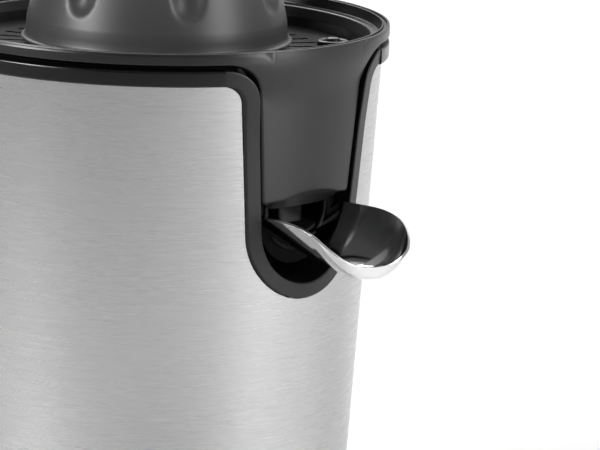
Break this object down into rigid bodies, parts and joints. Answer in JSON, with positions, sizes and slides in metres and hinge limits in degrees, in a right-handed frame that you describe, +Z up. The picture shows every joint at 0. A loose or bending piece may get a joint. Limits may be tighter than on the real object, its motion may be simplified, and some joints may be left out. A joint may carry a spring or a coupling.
{
  "type": "electric citrus press",
  "caption": "Steel-sleeved citrus press: fluted reamer cone in a juice bowl whose apron drops into a front recess over a tilting steel spout.",
  "frame": {"origin": "on the table, on the axis of the round body, level with the undersides of the feet", "axes": "+Z up along the cone's axis; the spout points along -Y; +X to the right of someone facing along +Y"},
  "size_m": [0.16, 0.1882, 0.2395],
  "materials": {
    "brushed_steel": "fine horizontal brushing",
    "black_trim": "satin gloss",
    "black_bezel": "satin",
    "inner_plastic": "fine moulded texture",
    "base_plastic": "fine moulded texture",
    "rubber": "matte rubber",
    "zinc_steel": "bright zinc plated",
    "collector_plastic": "satin",
    "strainer_plastic": "satin",
    "cone_plastic": "satin",
    "polished_steel": "mirror polished stainless steel",
    "silicone": "grey silicone",
    "shaft_steel": "ground steel",
    "bronze": "sintered bronze",
    "gear_plastic": "natural acetal",
    "motor_steel": "zinc-coated sheet",
    "motor_core": "varnished laminations and windings",
    "aluminium": "turned aluminium",
    "spring_steel": "spring wire",
    "switch_plastic": "moulded thermoset",
    "plunger_plastic": "moulded"
  },
  "bodies": {
    "housing": {"steel_shell": "brushed_steel", "top_trim_ring": "black_trim", "spout_bezel": "black_bezel", "inner_housing": "inner_plastic", "base_plate": "base_plastic", "rubber_feet": "rubber", "base_screws": "zinc_steel", "cord_inlet": "rubber", "shaft_bush": "bronze", "shaft_seal": "rubber", "hub_bush": "bronze", "idler_axle": "shaft_steel", "motor_bushes": "bronze", "stator": "motor_core", "motor_can": "motor_steel", "motor_screws": "zinc_steel", "gearbox_plate": "motor_steel", "gearbox_pillars": "aluminium", "gearbox_screws": "zinc_steel", "deck_screws": "zinc_steel", "return_spring": "spring_steel", "microswitch": "switch_plastic"},
    "press_seat": {"thrust_seat": "gear_plastic"},
    "shaft": {"drive_shaft": "shaft_steel"},
    "output_gear": {"output_gear": "gear_plastic", "gear_clip": "zinc_steel"},
    "idler": {"idler_gear": "gear_plastic"},
    "motor_rotor": {"motor_rotor": "motor_steel", "motor_pinion": "bronze"},
    "plunger": {"switch_plunger": "plunger_plastic"},
    "small_cone": {"small_cone": "cone_plastic"},
    "large_cone": {"large_cone": "cone_plastic"},
    "strainer": {"strainer": "strainer_plastic"},
    "juice_collector": {"juice_collector": "collector_plastic"},
    "spout": {"spout_scoop": "polished_steel", "spout_holder": "black_trim", "drip_seal": "silicone"}
  },
  "joints": [
    {"name": "press_travel", "type": "slide", "parent": "housing", "child": "press_seat", "axis": [0, 0, -1], "range_m": [0, 0.002], "stiffness_N_per_m": 2000, "springref_m": -0.003, "deforming": ["return_spring"]},
    {"name": "cone_spin", "type": "hinge", "parent": "press_seat", "child": "shaft", "pos_m": [0, 0, 0.15], "axis": [0, 0, 1], "continuous": true},
    {"name": "output_gear_spin", "type": "hinge", "parent": "housing", "child": "output_gear", "pos_m": [0, 0, 0.12], "axis": [0, 0, 1], "continuous": true},
    {"name": "idler_spin", "type": "hinge", "parent": "housing", "child": "idler", "pos_m": [-0.03139, 0.01812, 0.11], "axis": [0, 0, 1], "continuous": true},
    {"name": "motor_spin", "type": "hinge", "parent": "housing", "child": "motor_rotor", "pos_m": [-0.00696, 0.02702, 0.09], "axis": [0, 0, 1], "continuous": true},
    {"name": "switch_travel", "type": "slide", "parent": "housing", "child": "plunger", "axis": [0, 0, -1], "range_m": [0, 0.002]},
    {"name": "spout_tilt", "type": "hinge", "parent": "housing", "child": "spout", "pos_m": [0, -0.055, 0.1326], "axis": [-1, 0, 0], "range_deg": [0, 7]},
    {"name": "collector_lift", "type": "slide", "parent": "housing", "child": "juice_collector", "axis": [0, 0, 1], "range_m": [0, 0.06]},
    {"name": "strainer_lift", "type": "slide", "parent": "housing", "child": "strainer", "axis": [0, 0, 1], "range_m": [0, 0.084]},
    {"name": "small_cone_lift", "type": "slide", "parent": "shaft", "child": "small_cone", "axis": [0, 0, 1], "range_m": [0, 0.114]},
    {"name": "large_cone_lift", "type": "slide", "parent": "shaft", "child": "large_cone", "axis": [0, 0, 1], "range_m": [0, 0.156]}
  ],
  "couplings": [
    {"joint": "output_gear_spin", "follows": "cone_spin", "ratio": 1},
    {"joint": "idler_spin", "follows": "cone_spin", "ratio": -3.1429},
    {"joint": "motor_spin", "follows": "cone_spin", "ratio": 10.476},
    {"joint": "switch_travel", "follows": "press_travel", "ratio": 1},
    {"joint": "strainer_lift", "follows": "collector_lift", "ratio": 1.4},
    {"joint": "small_cone_lift", "follows": "collector_lift", "ratio": 1.9},
    {"joint": "large_cone_lift", "follows": "collector_lift", "ratio": 2.6}
  ]
}
